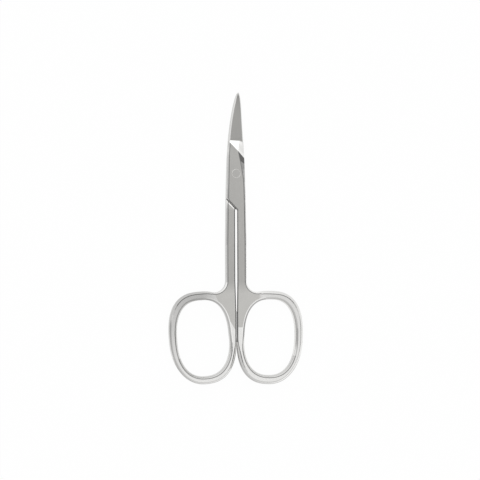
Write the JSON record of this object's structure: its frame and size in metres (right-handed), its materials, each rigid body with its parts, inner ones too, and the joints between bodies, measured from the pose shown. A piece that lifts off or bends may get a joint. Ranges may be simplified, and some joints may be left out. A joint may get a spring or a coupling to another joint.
{
  "type": "nail scissors",
  "caption": "Small steel nail scissors with upward-curved blades, a riveted lap joint and oval finger rings.",
  "frame": {"origin": "on the rivet's axis, in the plane on which the closed scissors lie", "axes": "+Z along the rivet's axis, out of the front half; +Y towards the blades' tips; +X to the right seen from the front"},
  "size_m": [0.0484, 0.1019, 0.0072],
  "materials": {
    "rear_half_steel": "fine-ground stainless steel, bevels and ring edges polished brighter",
    "front_half_steel": "fine-ground stainless steel, bevels and ring edges polished brighter",
    "rivet_steel": "fine-ground flush with the joint"
  },
  "bodies": {
    "rear": {"rear_half": "rear_half_steel", "pivot_rivet": "rivet_steel"},
    "front": {"front_half": "front_half_steel"}
  },
  "joints": [
    {"name": "opening", "type": "hinge", "parent": "rear", "child": "front", "pos_m": [0, 0, 0], "axis": [0, 0, 1], "range_deg": [0, 140]}
  ]
}
